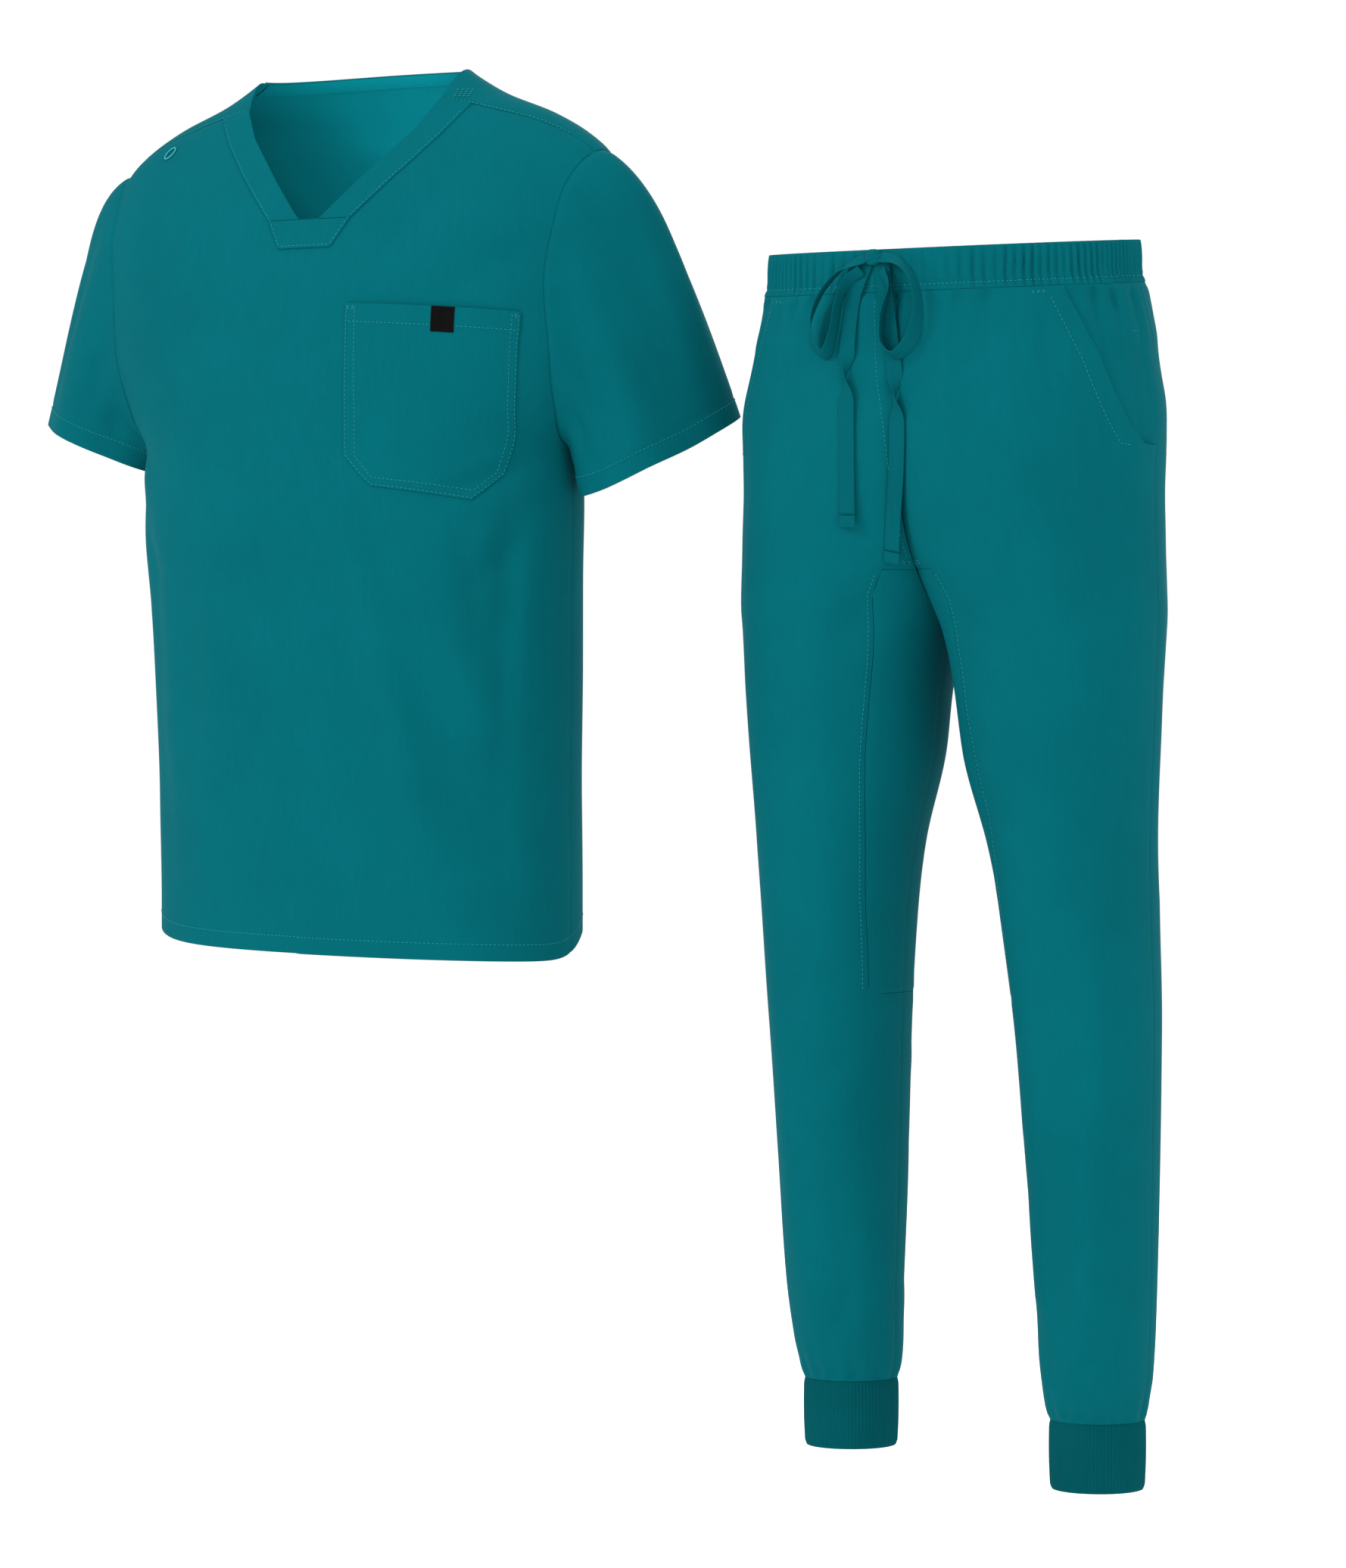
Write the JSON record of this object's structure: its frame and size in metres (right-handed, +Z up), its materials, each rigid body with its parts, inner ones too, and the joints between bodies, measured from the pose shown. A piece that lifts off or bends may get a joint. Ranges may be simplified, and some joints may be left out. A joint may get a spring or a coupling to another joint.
{
  "type": "medical scrub top and jogger trousers set",
  "caption": "Worn hollow scrub set: V-neck short-sleeve top with a chest pocket beside drawstring jogger trousers with ribbed cuffs.",
  "frame": {"origin": "middle of the top, level with the points where its neck edge meets the shoulders, where the wearer's shoulders carry it", "axes": "+Z up, both fronts face -Y, the wearer's left is +X; the trousers stand at +X of the top, as in the picture"},
  "size_m": [1.0741, 0.2519, 1.184],
  "materials": {
    "poplin": "matt stretch poplin, fine weave",
    "binding_tape": "matt woven tape",
    "rib_knit": "rib knit",
    "label_satin": "black woven satin",
    "drawstring_tape": "folded and stitched poplin tape",
    "loop_cord": "fine braided cord"
  },
  "bodies": {
    "root": {"top_front": "poplin", "top_back": "poplin", "neck_band_left": "poplin", "neck_band_right": "poplin", "neck_band_foot": "poplin", "sleeve_left": "poplin", "sleeve_right": "poplin", "chest_pocket": "poplin", "trouser_front_left": "poplin", "trouser_back_left": "poplin", "trouser_front_right": "poplin", "trouser_back_right": "poplin", "inner_thigh_panel_left": "poplin", "inner_thigh_panel_right": "poplin", "hip_pocket_facing_left": "poplin", "hip_pocket_facing_right": "poplin", "waistband": "poplin", "back_neck_binding": "binding_tape", "ankle_cuff_left": "rib_knit", "ankle_cuff_right": "rib_knit", "pocket_tab": "label_satin", "drawstring_knot": "drawstring_tape", "drawstring_loop_left": "drawstring_tape", "drawstring_loop_right": "drawstring_tape", "drawstring_tail_left": "drawstring_tape", "drawstring_tail_right": "drawstring_tape", "drawstring_tip_left": "drawstring_tape", "drawstring_tip_right": "drawstring_tape", "shoulder_loop": "loop_cord"}
  },
  "joints": []
}
